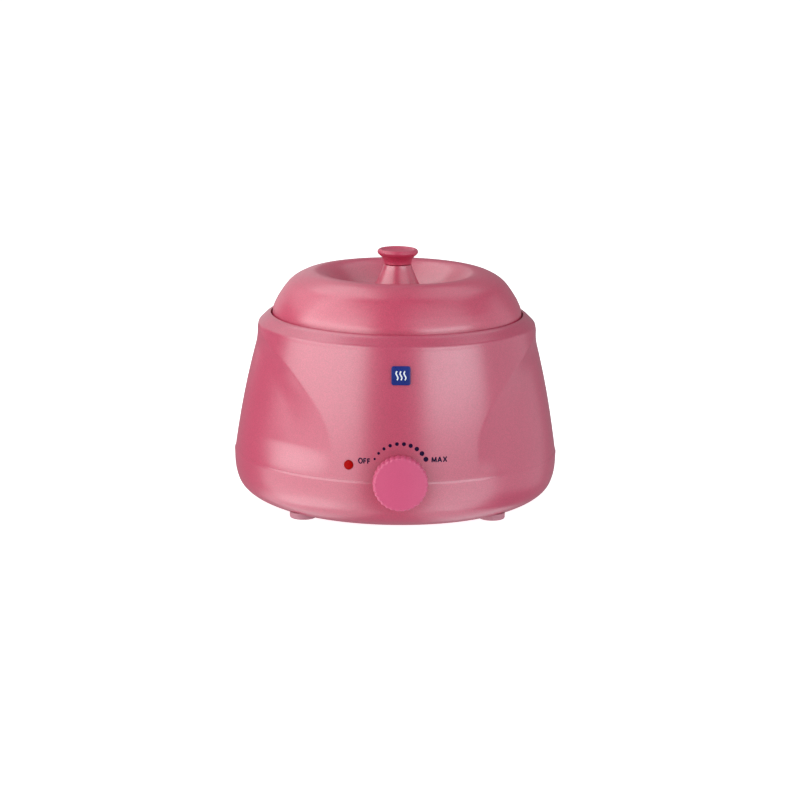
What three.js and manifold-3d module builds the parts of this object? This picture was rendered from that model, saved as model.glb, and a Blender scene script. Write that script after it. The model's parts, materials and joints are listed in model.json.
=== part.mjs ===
// Salon wax warmer: a pink moulded housing with a heated well, a lift-out pot and a domed lid.
// Millimetres, +Z up. The body's axis is x = y = 0, the feet stand on z = 0 and the dial faces -Y.
import * as THREE from 'three';
import { mergeVertices } from 'three/addons/utils/BufferGeometryUtils.js';
import Module from 'manifold-3d';

const wasm = await Module();
wasm.setup();

// ---------------------------------------------------------------- driving dimensions
const GAP = 0.3; // clearance between pieces that touch
const WALL = 2.6; // moulded wall
const ROUND = 40; // facets round the housing
const VESSEL = 32; // facets round the lid, pot and well
const SMALL = 16; // facets round knobs and bushes
const FINE = 8; // facets round screws and their holes

const SEAM_Z = 31.4; // level joint between the upper housing and the base
const SHOULDER_Z = 109; // crisp edge where the side panel meets the sloping rim
const SEAM_R = 98.3; // panel radius at the seam
const SHOULDER_R = 84.4; // panel radius at the shoulder
const PANEL_CROWN = 1; // how far the panel bulges past a straight cone
const RIM_R = 76.9; // inner edge of the rim
const RIM_Z = 115.2; // top of the rim

const CHEEK_DEPTH_AXIS = 87.1; // half length of the cheek's arch, front to back
const CHEEK_HEIGHT = 74.7; // height of the arch above the seam
const CHEEK_POWER = 2.2; // 2 is an ellipse; more makes the arch squarer
const CHEEK_TURN = THREE.MathUtils.degToRad(1.8); // turn of both arches about Z, towards the right
const CHEEK_WALL = 0.2; // width of the sloping wall along the flanks, as a share of the arch
const CHEEK_WALL_TOP = 0.13; // the same at the arch's crown
const CHEEK_PRESS = 3; // deepest press along the arch's flanks
const CHEEK_PRESS_TOP = 1.3; // press at the arch's crown
const CHEEK_BLEND = 0.75; // how far from the middle of the arch its crown's values reach
const CHEEK_FADE = 17; // height over which the press dies away towards the round seam

const BASE_Z = 1; // flat underside
const FOOT_SEAT_Z = 4.3; // floor of the pockets that the feet sit in
const FOOT_OFFSET = 56.6; // foot centres, from the axis in X and in Y
const FOOT_R = 8;
const VENTS = 8; // cooling slots in the underside

const DECK_Z = 109.5; // top of the housing's inner deck
const DECK_UNDER_Z = 107;
const WELL_R = 54; // inside of the heating well
const WELL_FLOOR_Z = 43;
const POT_R = 51.5; // inside of the pot
const POT_FLOOR_Z = 45;
const POT_RIM_Z = 112.5;
const BAIL_Z = 115.5; // hinge line of the pot's wire bail
const BAIL_R = 60.5;
const WIRE_R = 1.25;
const CLAMP_R = 67; // circle of the three screws that hold the well

const LID_R = 76.1;
const LID_WALL = 2.5;
const LID_BOTTOM_Z = DECK_Z + GAP;
const COLUMN_TOP_Z = 144.8;

const DIAL_Z = 32; // the dial's axis runs along Y at x = 0
const DIAL_R = 16.2;
const DIAL_BACK_Y = -98.9;
const DIAL_FACE_Y = -107.6;
const DIAL_FLUTES = 30;
const DIAL_BORE_END = 104.1; // depth that the dial's blind bore reaches, measured from the body's axis

const LAMP_ANGLE = THREE.MathUtils.degToRad(-18.1); // turn of the lamp from the front, about Z
const LAMP_Z = 40.7;
const BADGE_Z = 93.3;
const BADGE_SIZE = 11.2;

const GLAND_Z = 18;
const GLAND_PAD_Y = 89.5; // flat seat inside the base for the gland's nut
const GLAND_END_Y = -DIAL_FACE_Y; // the gland reaches as far to the rear as the dial to the front
const LEAD_R = 1;
const TERMINAL_LOW_Z = BASE_Z + WALL + GAP;
const TERMINAL_HEIGHT = 11;

// ---------------------------------------------------------------- materials
const finish = (color, roughness, metalness = 0) => ({ color, roughness, metalness });
const PINK = finish('#d4708c', 0.38);
const DIAL_PINK = finish('#dc5f8c', 0.5);
const RUBBER_PINK = finish('#cf7f96', 0.7);
const LENS_RED = finish('#c80000', 0.15);
const BADGE_BLUE = finish('#193280', 0.35);
const STEEL = finish('#a9acb0', 0.35, 1);
const ALUMINIUM = finish('#c9ccd0', 0.4, 1);
const MICA = finish('#8b7d5c', 0.6);
const BLACK = finish('#1c1c1e', 0.6);
const WHITE = finish('#e8e6e0', 0.5);
const GLASS = finish('#f0c8b0', 0.1);

// ---------------------------------------------------------------- helpers
const object = new THREE.Group();

/** Adds one named mesh to a group. */
function add(name, geometry, look, parent = object) {
  const mesh = new THREE.Mesh(geometry, new THREE.MeshStandardMaterial(look));
  mesh.name = name;
  parent.add(mesh);
  return mesh;
}

/** Keeps positions only, merges shared vertices and turns the faces outwards. */
function closed(geometry) {
  const bare = geometry.clone();
  bare.deleteAttribute('normal');
  bare.deleteAttribute('uv');
  const merged = mergeVertices(bare, 1e-4);
  const p = merged.attributes.position;
  const index = merged.index.array;
  const [a, b, c] = [new THREE.Vector3(), new THREE.Vector3(), new THREE.Vector3()];
  const kept = [];
  let volume = 0;
  for (let i = 0; i < index.length; i += 3) {
    const [ia, ib, ic] = [index[i], index[i + 1], index[i + 2]];
    if (ia === ib || ib === ic || ia === ic) continue;
    kept.push(ia, ib, ic);
    a.fromBufferAttribute(p, ia);
    b.fromBufferAttribute(p, ib);
    c.fromBufferAttribute(p, ic);
    volume += a.dot(b.cross(c));
  }
  if (volume < 0) {
    for (let i = 0; i < kept.length; i += 3) {
      [kept[i + 1], kept[i + 2]] = [kept[i + 2], kept[i + 1]];
    }
  }
  merged.setIndex(kept);
  return merged;
}

/** A closed geometry as a solid that can be joined and cut. */
function solid(geometry) {
  const g = closed(geometry);
  const mesh = new wasm.Mesh({
    numProp: 3,
    vertProperties: new Float32Array(g.attributes.position.array),
    triVerts: new Uint32Array(g.index.array),
  });
  return new wasm.Manifold(mesh);
}

/** A joined or cut solid back as geometry. */
function shape(body) {
  const mesh = body.getMesh();
  const g = new THREE.BufferGeometry();
  g.setAttribute('position', new THREE.BufferAttribute(new Float32Array(mesh.vertProperties), 3));
  g.setIndex(new THREE.BufferAttribute(new Uint32Array(mesh.triVerts), 1));
  return g;
}

/** Joins the added geometries to the first one, then cuts the others away. */
function build(first, added = [], cut = []) {
  let body = solid(first);
  for (const g of added) body = body.add(solid(g));
  for (const g of cut) body = body.subtract(solid(g));
  return shape(body);
}

/** A turned piece about the Z axis from [radius, height] pairs. */
function turned(points, facets = ROUND) {
  const g = new THREE.LatheGeometry(points.map(([r, z]) => new THREE.Vector2(r, z)), facets);
  g.rotateX(Math.PI / 2);
  return closed(g);
}

/** A turned ring: its section closes on itself. */
function ring(points, facets = ROUND) {
  return turned([...points, points[0]], facets);
}

/** A plain tube about Z. */
function tube(inner, outer, low, high, facets = ROUND) {
  return ring([[inner, low], [outer, low], [outer, high], [inner, high]], facets);
}

/** A rod about Z. */
function rod(radius, low, high, facets = SMALL) {
  return turned([[0, low], [radius, low], [radius, high], [0, high]], facets);
}

/** Lays a piece made about Z along Y, so that its +Z end looks to -Y (the front). */
const toFront = (g) => g.rotateX(Math.PI / 2);

/** A block between two corners. */
function block([x0, y0, z0], [x1, y1, z1]) {
  const g = new THREE.BoxGeometry(x1 - x0, y1 - y0, z1 - z0);
  return g.translate((x0 + x1) / 2, (y0 + y1) / 2, (z0 + z1) / 2);
}

/** A hex nut about Z, centred on the axis. */
function nut(acrossFlats, bore, low, high, facets = FINE) {
  const corner = acrossFlats / Math.sqrt(3);
  const outer = new THREE.CylinderGeometry(corner, corner, high - low, 6);
  outer.rotateX(Math.PI / 2).translate(0, 0, (low + high) / 2);
  return build(outer, [], [rod(bore, low - 1, high + 1, facets)]);
}

/** A slotted pan-head screw about Z: head above `seat`, shank below it. */
function screw(headR, headH, shankR, seat, length) {
  const body = turned([
    [0, seat - length], [shankR, seat - length], [shankR, seat], [headR, seat],
    [headR, seat + headH * 0.6], [headR * 0.75, seat + headH], [0, seat + headH],
  ], FINE);
  const half = headR + 1;
  const slot = block([-half, -0.45, seat + headH * 0.5], [half, 0.45, seat + headH + 1]);
  return build(body, [], [slot]);
}

/** A round wire along a smooth curve through a list of points. */
function wire(points, radius, steps) {
  const section = new THREE.Shape();
  section.absarc(0, 0, radius, 0, 2 * Math.PI);
  const extrudePath = new THREE.CatmullRomCurve3(points);
  return closed(new THREE.ExtrudeGeometry(section, { steps, extrudePath, curveSegments: 3 }));
}

/** An insulated lead through a list of points. */
const lead = (points) => wire(points.map((p) => new THREE.Vector3(...p)), LEAD_R, 12);

/** A point at a radius and a turn from the front, as seen from above. */
const around = (r, degrees, z) => {
  const a = THREE.MathUtils.degToRad(degrees);
  return [r * Math.sin(a), -r * Math.cos(a), z];
};

const corners = [[-1, -1, 'front_left'], [1, -1, 'front_right'], [-1, 1, 'rear_left'], [1, 1, 'rear_right']];
const clampAngles = [0, 120, 240];

// ---------------------------------------------------------------- housing surface
/** Radius of the side panel at a height, before the cheeks are pressed in. */
function panelRadius(z) {
  const t = (z - SEAM_Z) / (SHOULDER_Z - SEAM_Z);
  return THREE.MathUtils.lerp(SEAM_R, SHOULDER_R, t) + PANEL_CROWN * Math.sin(Math.PI * t);
}

/** How far the cheek's arch is pressed in at a point of the side wall. */
function cheekPress(x, y, z) {
  const along = Math.abs(y * Math.cos(CHEEK_TURN) - x * Math.sin(CHEEK_TURN)) / CHEEK_DEPTH_AXIS;
  const up = Math.max(z - SEAM_Z, 0) / CHEEK_HEIGHT;
  const inside = 1 - Math.pow(Math.pow(along, CHEEK_POWER) + Math.pow(up, CHEEK_POWER), 1 / CHEEK_POWER);
  if (inside <= 0) return 0;
  const crown = 1 - THREE.MathUtils.smoothstep(along, 0, CHEEK_BLEND);
  const fade = THREE.MathUtils.smoothstep(z, SEAM_Z, SEAM_Z + CHEEK_FADE);
  const width = THREE.MathUtils.lerp(CHEEK_WALL, CHEEK_WALL_TOP, crown);
  const wall = 1 - Math.pow(1 - Math.min(inside / width, 1), 2);
  const beyond = Math.max(inside - width, 0) / (1 - width);
  const slowly = 1 - THREE.MathUtils.smoothstep(beyond, 0, 1);
  const relax = THREE.MathUtils.lerp(slowly, Math.pow(1 - beyond, 2), crown);
  return THREE.MathUtils.lerp(CHEEK_PRESS, CHEEK_PRESS_TOP, crown) * wall * relax * fade;
}

/** Presses both cheeks into a turned shell: inner and outer wall move together. */
function pressCheeks(geometry) {
  const p = geometry.attributes.position;
  for (let i = 0; i < p.count; i += 1) {
    const [x, y, z] = [p.getX(i), p.getY(i), p.getZ(i)];
    const r = Math.hypot(x, y);
    if (r < RIM_R || z > DECK_UNDER_Z - 1) continue;
    const k = 1 - cheekPress(x, y, z) / r;
    p.setXY(i, x * k, y * k);
  }
  return geometry;
}

/** The split hole that the dial's shaft turns in. */
const shaftHole = () => toFront(rod(5.5, 85, 105)).translate(0, 0, DIAL_Z);

function makeUpperHousing() {
  const rows = [43.4, 54, 66, 78, 88, 96, 102.5, 107.5];
  const bottom = SEAM_Z + GAP / 2;
  const outer = [bottom, ...rows].map((z) => [panelRadius(z), z]);
  const rim = [[84, 109.1], [83.2, 110.4], [80.5, 113.5], [79.2, 114.4], [RIM_R, RIM_Z]];
  const deck = [[RIM_R, DECK_Z], [WELL_R + 2, DECK_Z], [WELL_R + 2, DECK_UNDER_Z], [81.2, DECK_UNDER_Z]];
  const inner = [98, 82, 64, 46, bottom].map((z) => [panelRadius(z) - WALL, z]);
  const shell = pressCheeks(ring([...outer, ...rim, ...deck, ...inner]));
  const bosses = [];
  const bores = [shaftHole()];
  for (const [sx, sy] of corners) {
    bosses.push(rod(4, 12.3, DECK_UNDER_Z + 1, FINE).translate(sx * FOOT_OFFSET, sy * FOOT_OFFSET, 0));
    bores.push(rod(1.6, 10, 30, FINE).translate(sx * FOOT_OFFSET, sy * FOOT_OFFSET, 0));
  }
  for (const angle of clampAngles) bores.push(rod(2, 100, 112, FINE).translate(...around(CLAMP_R, angle, 0)));
  bores.push(toFront(rod(2.9, 85, 105)).translate(0, 0, LAMP_Z).rotateZ(LAMP_ANGLE));
  return build(shell, bosses, bores);
}

function makeLowerBase() {
  const top = SEAM_Z - GAP / 2;
  const tongue = SEAM_Z + 2.4;
  const floor = BASE_Z + WALL;
  const outer = [
    [0, BASE_Z], [77, BASE_Z], [80.5, 1.4], [84.3, 2.8], [89.2, 5.2], [93.4, 8.5], [95.6, 12], [97.1, 16],
    [98.1, 20], [98.6, 24.5], [98.8, 28], [98.8, 30.6], [98.3, top],
  ];
  const inner = [
    [94.2, top], [94.2, tongue], [92.8, tongue], [92.8, 28], [95, 25.5], [94.4, 18], [92.4, 13],
    [90.4, 10.4], [86.8, 7.3], [82.5, 5], [77, floor], [0, floor],
  ];
  const shell = turned([...outer, ...inner]);
  const envelope = solid(turned([...outer, [0, top]]));
  const trimmed = (pad) => shape(solid(pad).intersect(envelope));
  const seat = trimmed(toFront(rod(8.4, -100, -GLAND_PAD_Y)).translate(0, 0, GLAND_Z));
  const posts = [-9, 9].map((x) => rod(4, floor - 1, 13.7, FINE).translate(x, -78, 0));
  posts.push(seat);
  const bores = [shaftHole(), toFront(rod(6.2, -105, -85)).translate(0, 0, GLAND_Z)];
  // the tongue stops either side of the thermostat
  bores.push(block([-12, -94.5, 24], [12, -88, tongue + 1]));
  bores.push(...[-9, 9].map((x) => rod(1.4, floor + 1, 15, FINE).translate(x, -78, 0)));
  for (const [sx, sy] of corners) {
    const place = [sx * FOOT_OFFSET, sy * FOOT_OFFSET, 0];
    posts.push(trimmed(rod(FOOT_R + GAP + WALL, floor - 1, FOOT_SEAT_Z + WALL, SMALL).translate(...place)));
    posts.push(rod(4.5, FOOT_SEAT_Z + 1, 12, FINE).translate(...place));
    bores.push(rod(FOOT_R + GAP, 0, FOOT_SEAT_Z, SMALL).translate(...place));
    bores.push(rod(1.9, 0, 14, FINE).translate(...place));
  }
  for (let i = 0; i < VENTS; i += 1) {
    const vent = block([-1.5, 28, 0], [1.5, 44, 8]);
    bores.push(vent.rotateZ((i + 0.5) * 2 * Math.PI / VENTS));
  }
  return build(shell, posts, bores);
}

// ---------------------------------------------------------------- lid
function makeLid() {
  const outer = [
    [LID_R, LID_BOTTOM_Z], [LID_R, 115], [74.7, 120.6], [71.2, 126.6], [66.2, 133.4], [63.2, 135.9],
    [58, 138.8], [50, 140.6], [46, 140.1], [41.5, 137.6], [33, 130.2], [23, 127], [16.5, 128.4],
    [12.6, 134.4], [9.4, 141], [8.3, COLUMN_TOP_Z],
  ];
  const inner = [
    [2.2, COLUMN_TOP_Z], [2.2, 141.2], [6, 141.2], [9.4, 131], [14, 125.8], [22, 124.2],
    [32, 126.6], [43.5, 135.6], [50, 138], [56.5, 136.4], [63.8, 132], [LID_R - LID_WALL, 115],
    [LID_R - LID_WALL, LID_BOTTOM_Z],
  ];
  return ring([...outer, ...inner], VESSEL);
}

function makeLidKnob() {
  const low = COLUMN_TOP_Z + GAP;
  return turned([
    [1.8, low], [8.3, low], [8.5, 146.4], [9.2, 148.2], [10.8, 150], [12.1, 151.2], [12.45, 152.3],
    [12.1, 153.4], [11, 154.2], [9.9, 154], [7.5, 153.1], [0, 152.8], [0, 150.5], [1.8, 150.5], [1.8, low],
  ], 20);
}

const makeLidKnobScrew = () => build(screw(4, 2, 1.5, 0, 9).rotateX(Math.PI).translate(0, 0, 140.9));

// ---------------------------------------------------------------- pot and bail
function makePot() {
  const under = POT_FLOOR_Z - 1.2;
  const low = POT_RIM_Z - 1.2;
  const pot = turned([
    [0, under], [47, under], [50.8, 45.4], [POT_R + 1, 49], [POT_R + 1, low], [58, low], [58, POT_RIM_Z],
    [POT_R + 0.8, POT_RIM_Z], [POT_R, POT_RIM_Z - 0.8], [POT_R, 49.2], [50, 46.3], [46.8, POT_FLOOR_Z],
    [0, POT_FLOOR_Z],
  ], VESSEL);
  return build(pot, [], [-1, 1].map((s) => rod(1.3, 100, 120, FINE).translate(s * 54.8, 0, 0)));
}

function makeEar(side) {
  const low = POT_RIM_Z + GAP;
  const tab = block([52.9, -4, low], [58, 4, low + 1]);
  const leaf = block([57, -4, low], [58, 4, low + 5.6]);
  const pin = rod(1.6, 50, 65, SMALL).rotateY(Math.PI / 2).translate(0, 0, BAIL_Z);
  const ear = build(tab, [leaf], [pin, rod(1.3, 100, 120, FINE).translate(54.8, 0, 0)]);
  return side < 0 ? ear.rotateZ(Math.PI) : ear;
}

const makeEarRivet = (side) => turned([
  [0, POT_RIM_Z - 0.9], [1, POT_RIM_Z - 0.9], [1, 114.1], [1.7, 114.1], [1.2, 114.9], [0, 115.1],
], SMALL).translate(side * 54.8, 0, 0);

/** The wire bail lies folded over the rear of the pot's rim; its ends turn in through the ears. */
function makeBail() {
  const points = [];
  const turns = 12;
  for (let i = 0; i <= turns; i += 1) {
    const a = Math.PI * i / turns;
    points.push(new THREE.Vector3(BAIL_R * Math.cos(a), BAIL_R * Math.sin(a), BAIL_Z));
  }
  const bow = wire(points, WIRE_R, 24);
  const ends = [-1, 1].map((s) => rod(WIRE_R, 56.6, BAIL_R + 1, FINE).rotateY(s * Math.PI / 2));
  return build(bow, ends.map((g) => g.translate(0, 0, BAIL_Z)));
}

// ---------------------------------------------------------------- heater
function makeWell() {
  const under = WELL_FLOOR_Z - 1.2;
  const flange = DECK_Z + GAP;
  const well = turned([
    [0, under], [51.5, under], [WELL_R + 1, 45.4], [WELL_R + 1, flange], [71, flange], [71, flange + 1.2],
    [WELL_R, flange + 1.2], [WELL_R, 46], [51, WELL_FLOOR_Z], [0, WELL_FLOOR_Z],
  ], VESSEL);
  return build(well, [], clampAngles.map((a) => rod(2, 100, 120, FINE).translate(...around(CLAMP_R, a, 0))));
}

/** Mica heater band, split at the rear with a pair of clamp lugs. */
function makeHeaterBand() {
  const inner = WELL_R + 1 + GAP;
  const lugs = [-3.2, 2].map((x) => block([x, inner + 0.5, 66], [x + 1.2, 61, 84]));
  const split = block([-2, inner - 5, 50], [2, 65, 100]);
  const bolt = rod(1.5, -10, 10, FINE).rotateY(Math.PI / 2).translate(0, 59, 75);
  return build(tube(inner, inner + 1.2, 55, 95, VESSEL), lugs, [split, bolt]);
}

const makeBandBolt = () => screw(1.9, 1.4, 1.1, 0, 11).rotateY(Math.PI / 2).translate(3.5, 59, 75);
const makeBandNut = () => nut(3.6, 1.3, 0, 1.6).rotateY(Math.PI / 2).translate(-5.1, 59, 75);

function makeHeatShield() {
  const top = DECK_UNDER_Z - GAP;
  const wall = ring([
    [62.2, 50], [63, 50], [63, top - 0.8], [70.5, top - 0.8], [70.5, top], [62.2, top],
  ], VESSEL);
  const holes = clampAngles.map((a) => rod(2, 100, 110, FINE).translate(...around(CLAMP_R, a, 0)));
  return build(wall, [], holes);
}

function makeFuseClip() {
  const under = WELL_FLOOR_Z - 1.2 - GAP;
  const wings = block([-2.5, -8, under - 0.8], [2.5, 8, under]);
  const loop = rod(3.1, -2.5, 2.5, SMALL).rotateY(Math.PI / 2).translate(0, 0, under - 2);
  const seat = rod(2.3, -4, 4, SMALL).rotateY(Math.PI / 2).translate(0, 0, under - 2);
  const gap = block([-4, -2.3, under - 2], [4, 2.3, under + 2]);
  const above = block([-4, -9, under], [4, 9, under + 4]);
  return build(wings, [loop], [seat, gap, above]).translate(-11, 20, 0);
}

// ---------------------------------------------------------------- dial and thermostat
function makeControlKnob() {
  const outline = new THREE.Shape();
  for (let i = 0; i < DIAL_FLUTES * 2; i += 1) {
    const a = Math.PI * i / DIAL_FLUTES;
    const r = i % 2 ? DIAL_R - 0.6 : DIAL_R;
    if (i) outline.lineTo(r * Math.cos(a), r * Math.sin(a));
    else outline.moveTo(r, 0);
  }
  outline.closePath();
  const [back, face] = [-DIAL_BACK_Y, -DIAL_FACE_Y];
  const prism = closed(new THREE.ExtrudeGeometry(outline, { depth: face - back, bevelEnabled: false }));
  const dome = turned([
    [0, back], [DIAL_R - 0.4, back], [DIAL_R + 0.1, back + 0.5], [DIAL_R + 0.1, face - 3.2],
    [DIAL_R - 0.6, face - 2], [DIAL_R - 2, face - 1.3], [DIAL_R - 4.2, face - 0.7], [DIAL_R - 8, face - 0.25],
    [0, face],
  ]);
  const cap = shape(solid(prism.translate(0, 0, back)).intersect(solid(dome)));
  return toFront(build(cap, [], [rod(3.3, 90, DIAL_BORE_END)])).translate(0, 0, DIAL_Z);
}

const makeShaft = () => toFront(rod(3, 80, DIAL_BORE_END - GAP)).translate(0, 0, DIAL_Z);

function makeThermostatBody() {
  const can = block([-14, -88.6, DIAL_Z - 13], [14, -72.6, DIAL_Z + 13]);
  const neck = toFront(rod(4.5, 88, 93.6)).translate(0, 0, DIAL_Z);
  const bore = toFront(rod(3.3, 79.5, 95)).translate(0, 0, DIAL_Z);
  return build(can, [neck], [bore]);
}

function makeThermostatBracket() {
  const plate = block([-13, -90.1, 14], [13, -88.9, DIAL_Z + 12]);
  const leg = block([-13, -90.1, 14], [13, -72, 15.2]);
  const neckHole = toFront(rod(4.8, 85, 95)).translate(0, 0, DIAL_Z);
  const screwHoles = [-9, 9].map((x) => rod(1.6, 10, 20, FINE).translate(x, -78, 0));
  return build(plate, [leg], [neckHole, ...screwHoles]);
}

const makeThermostatNut = () => toFront(nut(12, 4.8, 90.4, 92.6, SMALL)).translate(0, 0, DIAL_Z);

// ---------------------------------------------------------------- indicator and badge
/** The lamp's pieces are made facing -Y and turned round to the lamp's place. */
const atLamp = (g) => toFront(g).translate(0, 0, LAMP_Z).rotateZ(LAMP_ANGLE);

const makeLens = () => atLamp(turned([
  [0, 95.5], [1.9, 95.5], [1.9, 88.9], [2.5, 88.9], [2.5, 92], [3.6, 92], [3.6, 93.1], [2.5, 93.1],
  [2.5, 97.1], [1.9, 97.5], [0, 97.7],
], SMALL));

const makeLensClip = () => atLamp(tube(2.8, 5, 90.5, 91.7, SMALL));
const makeLamp = () => atLamp(turned([[0, 86.5], [1.6, 86.5], [1.6, 94.1], [1, 94.9], [0, 95.1]], SMALL));

function makeBadge() {
  const r = 1.4;
  const h = BADGE_SIZE / 2;
  const outline = new THREE.Shape();
  outline.moveTo(-h + r, -h);
  outline.lineTo(h - r, -h);
  outline.absarc(h - r, -h + r, r, -Math.PI / 2, 0);
  outline.absarc(h - r, h - r, r, 0, Math.PI / 2);
  outline.absarc(-h + r, h - r, r, Math.PI / 2, Math.PI);
  outline.absarc(-h + r, -h + r, r, Math.PI, 1.5 * Math.PI);
  const plate = new THREE.ExtrudeGeometry(outline, { depth: 0.7, bevelEnabled: false, curveSegments: 5 });
  const step = 4;
  const slope = Math.atan2(panelRadius(BADGE_Z - step) - panelRadius(BADGE_Z + step), 2 * step);
  const badge = closed(plate).rotateX(Math.PI / 2 - slope);
  return badge.translate(0, -panelRadius(BADGE_Z) - GAP, BADGE_Z);
}

// ---------------------------------------------------------------- rear wiring
function makeGland() {
  const body = ring([
    [4.2, 86.5], [5.9, 86.5], [5.9, 98.9], [8.2, 98.9], [8.2, 101.9], [6.6, 103.4], [5.9, GLAND_END_Y - 0.6],
    [5.3, GLAND_END_Y], [4.2, GLAND_END_Y],
  ], SMALL);
  return toFront(body).rotateZ(Math.PI).translate(0, 0, GLAND_Z);
}

function makeGlandNut() {
  const body = nut(13.6, 6.2, GLAND_PAD_Y - 2.5, GLAND_PAD_Y - GAP, SMALL);
  return toFront(body).rotateZ(Math.PI).translate(0, 0, GLAND_Z);
}

function makeTerminalBlock() {
  const low = TERMINAL_LOW_Z;
  const body = block([-14, 58, low], [14, 70, low + TERMINAL_HEIGHT]);
  const cuts = [];
  for (const x of [-9, 0, 9]) {
    cuts.push(toFront(rod(1.5, -72, -56, FINE)).translate(x, 0, low + 5));
    cuts.push(rod(1.8, low + 5, low + TERMINAL_HEIGHT + 2, FINE).translate(x, 64, 0));
  }
  return build(body, [], cuts);
}

function makeFoot(sx, sy) {
  const top = FOOT_SEAT_Z - GAP;
  const foot = turned([
    [0, 0], [7.4, 0], [FOOT_R, 0.6], [FOOT_R, top], [4.4, top], [4.4, 0.8], [0, 0.8],
  ], SMALL);
  return foot.translate(sx * FOOT_OFFSET, sy * FOOT_OFFSET, 0);
}

function makeBaseScrew(sx, sy) {
  const body = screw(3.6, 1.8, 1.3, 0, 22).rotateX(Math.PI);
  return body.translate(sx * FOOT_OFFSET, sy * FOOT_OFFSET, FOOT_SEAT_Z - GAP);
}

// ---------------------------------------------------------------- the assembly
add('upper_housing', makeUpperHousing(), PINK);
add('lower_base', makeLowerBase(), PINK);
add('lid', makeLid(), PINK);
add('lid_knob', makeLidKnob(), PINK);
add('lid_knob_screw', makeLidKnobScrew(), STEEL);

add('inner_pot', makePot(), ALUMINIUM);
for (const [side, name] of [[-1, 'left'], [1, 'right']]) {
  add(`pot_ear_${name}`, makeEar(side), STEEL);
  add(`ear_rivet_${name}`, makeEarRivet(side), STEEL);
}
add('pot_bail', makeBail(), STEEL);

add('heating_well', makeWell(), ALUMINIUM);
clampAngles.forEach((angle, i) => {
  const at = around(CLAMP_R, angle, 0);
  const seat = DECK_Z + GAP + 1.2 + GAP;
  add(`well_screw_${i + 1}`, screw(3, 1.8, 1.5, seat, 8.4).translate(...at), STEEL);
  const nutTop = DECK_UNDER_Z - GAP - 0.8 - GAP;
  add(`well_nut_${i + 1}`, nut(5.5, 1.8, nutTop - 2.2, nutTop).translate(...at), STEEL);
});
add('heater_band', makeHeaterBand(), MICA);
add('band_bolt', makeBandBolt(), STEEL);
add('band_nut', makeBandNut(), STEEL);
add('heat_shield', makeHeatShield(), STEEL);
const fuseZ = WELL_FLOOR_Z - 1.2 - GAP - 2;
const fuse = rod(2, -9, 9, SMALL).rotateY(Math.PI / 2).translate(-11, 20, fuseZ);
add('thermal_fuse', fuse, WHITE);
add('fuse_clip', makeFuseClip(), STEEL);

add('control_knob', makeControlKnob(), DIAL_PINK);
add('thermostat_shaft', makeShaft(), STEEL);
add('thermostat_body', makeThermostatBody(), WHITE);
add('thermostat_bracket', makeThermostatBracket(), STEEL);
add('thermostat_nut', makeThermostatNut(), STEEL);
[-9, 9].forEach((x, i) => {
  add(`bracket_screw_${i + 1}`, screw(2.6, 1.6, 1.1, 15.5, 7).translate(x, -78, 0), STEEL);
});

add('indicator_lens', makeLens(), LENS_RED);
add('indicator_clip', makeLensClip(), STEEL);
add('indicator_lamp', makeLamp(), GLASS);
add('badge', makeBadge(), BADGE_BLUE);

add('terminal_block', makeTerminalBlock(), WHITE);
[-9, 0, 9].forEach((x, i) => {
  const low = TERMINAL_LOW_Z + TERMINAL_HEIGHT - 1;
  add(`terminal_screw_${i + 1}`, screw(1.5, 1, 1, low, 1.8).translate(x, 64, 0), STEEL);
});
add('cord_gland', makeGland(), BLACK);
add('gland_nut', makeGlandNut(), BLACK);

for (const [sx, sy, name] of corners) {
  add(`foot_${name}`, makeFoot(sx, sy), RUBBER_PINK);
  add(`base_screw_${name}`, makeBaseScrew(sx, sy), STEEL);
}

// The leads' routes: from the terminal block round the inside of the base to each part.
const terminalZ = TERMINAL_LOW_Z + 5;
const lamp = ([r, z]) => {
  const turn = new THREE.Vector3(0, -r, z).applyAxisAngle(new THREE.Vector3(0, 0, 1), LAMP_ANGLE);
  return turn.toArray();
};
add('lead_supply', lead([
  [-9, 60.5, terminalZ], [-9, 52, terminalZ], [-30, 25, 10], [-30, -25, 10], [-14, -60, 16],
  [-7, -68, 26], [-7, -72.3, 27],
]), BLACK);
add('lead_fuse', lead([
  [7, -72.3, 27], [7, -66, 26], [12, -40, 20], [14, 0, 24], [10, 18, 36], [4, 20, fuseZ], [-1.7, 20, fuseZ],
]), WHITE);
add('lead_heater', lead([
  [-20.3, 20, fuseZ], [-25, 21, fuseZ - 1], [-30, 36, 34], around(59.3, 155, 40), around(59.3, 158, 50),
  around(59.3, 158, 58),
]), WHITE);
add('lead_return', lead([
  around(59.3, 200, 58), around(59.3, 200, 50), around(59.3, 198, 40), [14, 48, 22], [2, 52, terminalZ],
  [0, 60.5, terminalZ],
]), WHITE);
add('lead_earth', lead([
  [9, 60.5, terminalZ], [9, 52, terminalZ], [18, 40, 18], [22, 28, 34], [22, 26, 41.4],
]), BLACK);
add('lead_lamp', lead([
  lamp([85.6, LAMP_Z]), lamp([82, LAMP_Z - 1]), [-22, -70, 32], [-17, -66, 30], [-12, -68, 34],
  [-11, -72.3, 35],
]), BLACK);

export default object;
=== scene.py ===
"""Looks of the wax warmer: fine surfaces, materials, studio light and camera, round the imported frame."""

import json
import math

import bmesh
import bpy
from mathutils import Matrix, Vector


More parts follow.
